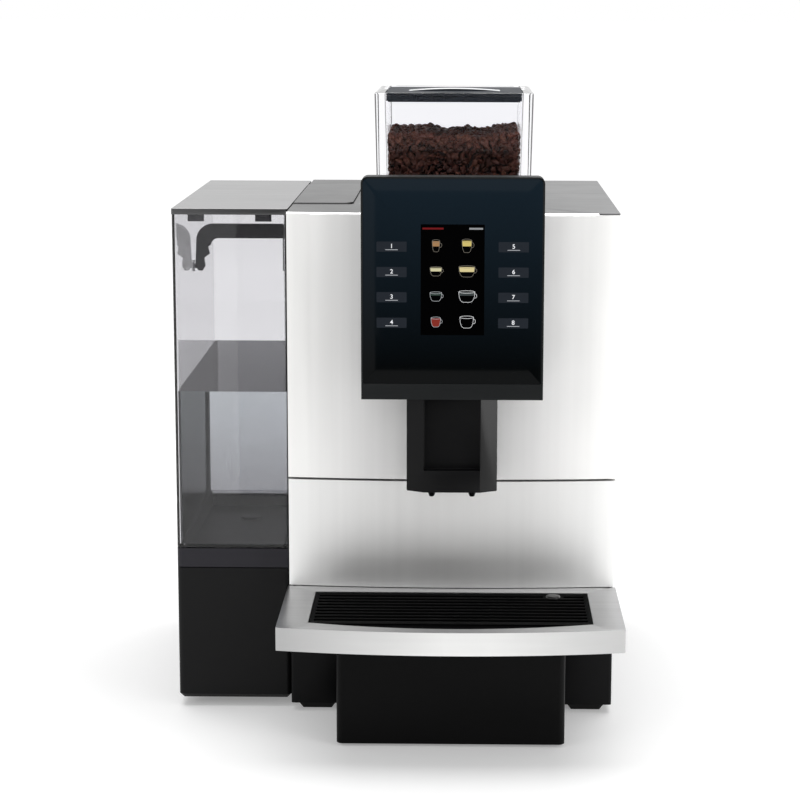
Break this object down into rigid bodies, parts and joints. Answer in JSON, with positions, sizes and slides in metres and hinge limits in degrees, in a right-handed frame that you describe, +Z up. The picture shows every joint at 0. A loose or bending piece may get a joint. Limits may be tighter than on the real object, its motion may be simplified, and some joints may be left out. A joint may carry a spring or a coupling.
{
  "type": "bean-to-cup espresso machine",
  "caption": "Counter-top bean-to-cup espresso machine: brushed steel body, touch screen over a sliding coffee outlet, clear bean hopper, drip tray, grounds bin and a separate side water tank.",
  "frame": {"origin": "middle of the outline's footprint, on the counter under the feet", "axes": "+X to the machine's right as seen from the front, +Y to its back, +Z up"},
  "size_m": [0.4106, 0.5022, 0.58],
  "materials": {
    "brushed_steel": "fine horizontal brushing",
    "tank_lid_steel": "brushed top with a dark satin edge",
    "galvanised_steel": "bare galvanised sheet",
    "black_plastic": "fine-grained black moulding",
    "gloss_black": "polished black moulding",
    "grille_black": "satin black",
    "dark_plastic": "satin dark grey moulding",
    "rubber": "soft black rubber",
    "screen_glass": "polished, nearly black",
    "display": "lit panel",
    "circuit_board": "green board with components",
    "clear_plastic": "clear amber-tinted moulding",
    "hopper_clear": "thick polished clear plastic",
    "tank_clear": "polished, slightly smoked clear plastic",
    "water": "clear water",
    "coffee_beans": "roasted coffee beans",
    "burr_steel": "ground tool steel",
    "motor_steel": "zinc-plated steel",
    "boiler_steel": "deep-drawn stainless steel",
    "pump_plastic": "natural moulded plastic",
    "cast_alloy": "die-cast alloy",
    "brass": "machined brass",
    "silicone": "translucent silicone hose"
  },
  "bodies": {
    "machine": {"base_plinth": "black_plastic", "rubber_feet": "rubber", "inner_frame": "galvanised_steel", "left_side_panel": "brushed_steel", "right_side_panel": "brushed_steel", "back_panel": "galvanised_steel", "top_cover": "brushed_steel", "lower_front_panel": "brushed_steel", "cover_screws": "galvanised_steel", "door_hinges": "galvanised_steel", "door_catch": "black_plastic", "powder_chute": "black_plastic", "grinder_housing": "cast_alloy", "grinder_motor": "motor_steel", "dosing_chute": "black_plastic", "brew_frame": "black_plastic", "brew_chamber": "clear_plastic", "brew_motor": "motor_steel", "coffee_boiler": "boiler_steel", "water_pump": "pump_plastic", "flow_meter": "pump_plastic", "valve_block": "brass", "water_hoses": "silicone", "power_board": "circuit_board", "power_inlet": "black_plastic", "fan_frame": "black_plastic", "tank_base": "black_plastic", "tank_cradle": "dark_plastic"},
    "door": {"front_door": "brushed_steel", "screen_housing": "black_plastic", "screen_glass": "screen_glass", "display_module": "display", "control_board": "circuit_board", "spout_guide": "black_plastic"},
    "spout": {"spout_body": "gloss_black", "coffee_nozzles": "gloss_black"},
    "hopper": {"bean_hopper": "hopper_clear", "coffee_beans": "coffee_beans"},
    "hopper_cap": {"hopper_lid": "gloss_black", "hopper_gasket": "rubber"},
    "shutter": {"hopper_shutter": "brushed_steel"},
    "powder_flap": {"powder_lid": "brushed_steel"},
    "burr_rotor": {"lower_burr": "burr_steel", "burr_shaft": "motor_steel"},
    "grind_setting": {"upper_burr": "burr_steel", "adjust_ring": "brass"},
    "piston": {"brew_piston": "dark_plastic"},
    "lead_screw": {"brew_screw": "burr_steel"},
    "drip_tray": {"tray_frame": "brushed_steel", "drip_basin": "black_plastic"},
    "grille": {"drip_grille": "grille_black"},
    "float": {"tray_float": "gloss_black"},
    "bin": {"grounds_bin": "gloss_black"},
    "tank": {"water_tank": "tank_clear", "tank_valve": "dark_plastic", "tank_water": "water"},
    "tank_cap": {"tank_lid": "tank_lid_steel"},
    "tank_bail": {"tank_handle": "dark_plastic"},
    "fan": {"fan_rotor": "black_plastic"},
    "rocker": {"power_rocker": "black_plastic"}
  },
  "joints": [
    {"name": "door_hinge", "type": "hinge", "parent": "machine", "child": "door", "pos_m": [0.1943, -0.0931, 0.35], "axis": [0, 0, 1], "range_deg": [0, 95]},
    {"name": "spout_slide", "type": "slide", "parent": "door", "child": "spout", "axis": [0, 0, 1], "range_m": [-0.015, 0.037]},
    {"name": "hopper_lift", "type": "slide", "parent": "machine", "child": "hopper", "axis": [0, 0, 1], "range_m": [0, 0.12]},
    {"name": "hopper_lid_lift", "type": "slide", "parent": "hopper", "child": "hopper_cap", "axis": [0, 0, 1], "range_m": [0, 0.08]},
    {"name": "shutter_slide", "type": "slide", "parent": "hopper", "child": "shutter", "axis": [0, -1, 0], "range_m": [0, 0.036]},
    {"name": "powder_lid_hinge", "type": "hinge", "parent": "machine", "child": "powder_flap", "pos_m": [-0.0697, 0.1739, 0.4702], "axis": [-1, 0, 0], "range_deg": [0, 95]},
    {"name": "burr_spin", "type": "hinge", "parent": "machine", "child": "burr_rotor", "pos_m": [0.0533, 0.0339, 0.37], "axis": [0, 0, 1], "continuous": true},
    {"name": "grind_adjust", "type": "hinge", "parent": "machine", "child": "grind_setting", "pos_m": [0.0533, 0.0339, 0.4], "axis": [0, 0, 1], "range_deg": [-60, 60]},
    {"name": "brew_screw_turn", "type": "hinge", "parent": "machine", "child": "lead_screw", "pos_m": [0.0533, -0.0201, 0.25], "axis": [0, 0, 1], "range_deg": [0, 1805]},
    {"name": "piston_slide", "type": "slide", "parent": "machine", "child": "piston", "axis": [0, 0, 1], "range_m": [0, 0.04]},
    {"name": "tray_slide", "type": "slide", "parent": "machine", "child": "drip_tray", "axis": [0, -1, 0], "range_m": [0, 0.2]},
    {"name": "grille_lift", "type": "slide", "parent": "drip_tray", "child": "grille", "axis": [0, 0, 1], "range_m": [0, 0.06]},
    {"name": "float_rise", "type": "slide", "parent": "drip_tray", "child": "float", "axis": [0, 0, 1], "range_m": [0, 0.008]},
    {"name": "bin_slide", "type": "slide", "parent": "machine", "child": "bin", "axis": [0, -1, 0], "range_m": [0, 0.25]},
    {"name": "tank_lift", "type": "slide", "parent": "machine", "child": "tank", "axis": [0, 0, 1], "range_m": [0, 0.15]},
    {"name": "tank_lid_hinge", "type": "hinge", "parent": "tank", "child": "tank_cap", "pos_m": [-0.152, 0.2249, 0.4665], "axis": [-1, 0, 0], "range_deg": [0, 100]},
    {"name": "bail_swing", "type": "hinge", "parent": "tank", "child": "tank_bail", "pos_m": [-0.152, 0.0579, 0.405], "axis": [1, 0, 0], "range_deg": [-80, 80]},
    {"name": "fan_spin", "type": "hinge", "parent": "machine", "child": "fan", "pos_m": [0.1133, 0.2349, 0.39], "axis": [0, -1, 0], "continuous": true},
    {"name": "switch_rock", "type": "hinge", "parent": "machine", "child": "rocker", "pos_m": [0.1393, 0.2429, 0.15], "axis": [-1, 0, 0], "range_deg": [0, 24]}
  ],
  "couplings": [
    {"joint": "brew_screw_turn", "follows": "piston_slide", "rad_per_m": 785.4}
  ]
}
